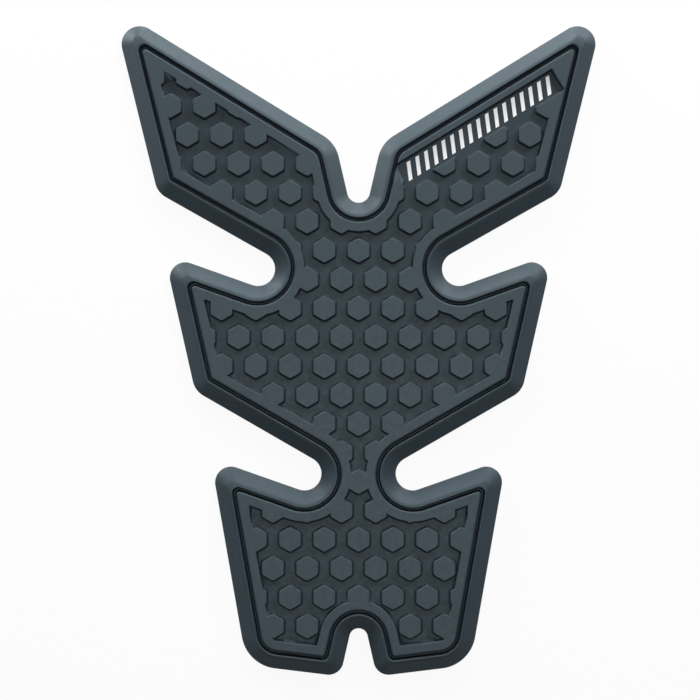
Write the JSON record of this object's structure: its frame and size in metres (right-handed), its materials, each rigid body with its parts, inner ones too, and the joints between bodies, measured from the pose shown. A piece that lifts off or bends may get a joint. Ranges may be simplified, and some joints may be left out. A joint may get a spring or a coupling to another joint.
{
  "type": "motorcycle tank pad",
  "caption": "Moulded rubber pad that protects a motorcycle fuel tank: bevelled rim, groove, and a raised panel with a pocket of hexagonal grip studs.",
  "frame": {"origin": "middle of the rectangle round the flat back, on the back itself", "axes": "+Z out of the back towards the studs, +Y from the tail towards the wings, +X towards the wing with the sunk strip"},
  "size_m": [0.1498, 0.205, 0.0039],
  "materials": {
    "pad_rubber": "matt moulded slate-grey rubber with a soft sheen"
  },
  "bodies": {
    "root": {"tank_pad": "pad_rubber"}
  },
  "joints": []
}
